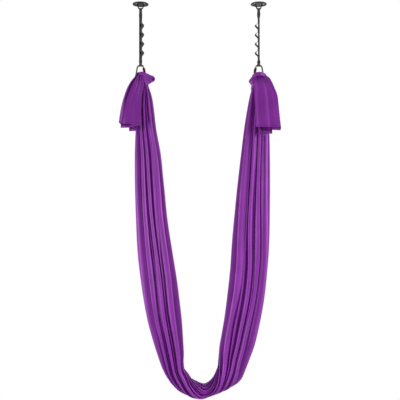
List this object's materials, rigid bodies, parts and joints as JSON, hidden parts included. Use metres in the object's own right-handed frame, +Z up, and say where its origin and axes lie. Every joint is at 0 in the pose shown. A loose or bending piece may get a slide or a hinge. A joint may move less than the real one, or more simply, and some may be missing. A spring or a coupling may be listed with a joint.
{
  "type": "aerial silks",
  "caption": "Aerial yoga sling: silk in a deep U, knotted into screw-gate carabiners on daisy-chain straps from round ceiling plates.",
  "frame": {"origin": "on the ceiling plane, midway between the two ceiling plates", "axes": "+Z up, +X to the right-hand anchor, +Y away from the viewer"},
  "size_m": [1.1374, 0.2011, 2.7656],
  "materials": {
    "powder_coated_steel": "satin",
    "zinc_plated_steel": "satin",
    "polyester_webbing": "matte",
    "bonded_thread": "matte",
    "forged_steel": "satin",
    "red_anodised_aluminium": "satin",
    "nylon_tricot": "satin"
  },
  "bodies": {
    "ceiling_anchors": {"left_ceiling_plate": "powder_coated_steel", "left_plate_screw_1": "zinc_plated_steel", "left_plate_screw_2": "zinc_plated_steel", "left_plate_screw_3": "zinc_plated_steel", "left_plate_screw_4": "zinc_plated_steel", "left_anchor_eye": "powder_coated_steel", "right_ceiling_plate": "powder_coated_steel", "right_plate_screw_1": "zinc_plated_steel", "right_plate_screw_2": "zinc_plated_steel", "right_plate_screw_3": "zinc_plated_steel", "right_plate_screw_4": "zinc_plated_steel", "right_anchor_eye": "powder_coated_steel"},
    "left_strap": {"left_daisy_chain_strap": "polyester_webbing", "left_bar_tack_1": "bonded_thread", "left_bar_tack_2": "bonded_thread", "left_bar_tack_3": "bonded_thread", "left_bar_tack_4": "bonded_thread", "left_bar_tack_5": "bonded_thread"},
    "right_strap": {"right_daisy_chain_strap": "polyester_webbing", "right_bar_tack_1": "bonded_thread", "right_bar_tack_2": "bonded_thread", "right_bar_tack_3": "bonded_thread", "right_bar_tack_4": "bonded_thread", "right_bar_tack_5": "bonded_thread"},
    "hammock": {"left_carabiner_frame": "forged_steel", "left_gate_rivet": "zinc_plated_steel", "right_carabiner_frame": "forged_steel", "right_gate_rivet": "zinc_plated_steel", "left_silk_knot": "nylon_tricot", "right_silk_knot": "nylon_tricot", "left_silk_tail": "nylon_tricot", "right_silk_tail": "nylon_tricot", "silk_sling": "nylon_tricot"},
    "left_gate": {"left_carabiner_gate": "forged_steel", "left_gate_plunger": "zinc_plated_steel", "left_gate_spring": "zinc_plated_steel"},
    "right_gate": {"right_carabiner_gate": "forged_steel", "right_gate_plunger": "zinc_plated_steel", "right_gate_spring": "zinc_plated_steel"},
    "left_sleeve": {"left_screw_sleeve": "red_anodised_aluminium"},
    "right_sleeve": {"right_screw_sleeve": "red_anodised_aluminium"}
  },
  "joints": [
    {"name": "strap_swing", "type": "hinge", "parent": "ceiling_anchors", "child": "left_strap", "pos_m": [-0.4135, 0, -0.038], "axis": [1, 0, 0], "range_deg": [-45, 45]},
    {"name": "right_strap_swing", "type": "hinge", "parent": "ceiling_anchors", "child": "right_strap", "pos_m": [0.4135, 0, -0.038], "axis": [1, 0, 0], "range_deg": [-45, 45]},
    {"name": "hammock_swing", "type": "hinge", "parent": "left_strap", "child": "hammock", "pos_m": [-0.4135, 0, -0.4296], "axis": [1, 0, 0], "range_deg": [-30, 30]},
    {"name": "left_gate_hinge", "type": "hinge", "parent": "hammock", "child": "left_gate", "pos_m": [-0.39511, 0, -0.43817], "axis": [0, 1, 0], "range_deg": [0, 22], "stiffness_Nm_per_rad": 0.05, "springref_deg": -28.65},
    {"name": "right_gate_hinge", "type": "hinge", "parent": "hammock", "child": "right_gate", "pos_m": [0.39511, 0, -0.43817], "axis": [0, -1, 0], "range_deg": [0, 22], "stiffness_Nm_per_rad": 0.05, "springref_deg": -28.65},
    {"name": "left_sleeve_screw", "type": "slide", "parent": "left_gate", "child": "left_sleeve", "axis": [0.2189, 0, -0.9757], "range_m": [0, 0.01]},
    {"name": "right_sleeve_screw", "type": "slide", "parent": "right_gate", "child": "right_sleeve", "axis": [-0.2189, 0, -0.9757], "range_m": [0, 0.01]}
  ],
  "couplings": [
    {"joint": "right_strap_swing", "follows": "strap_swing", "ratio": 1}
  ]
}
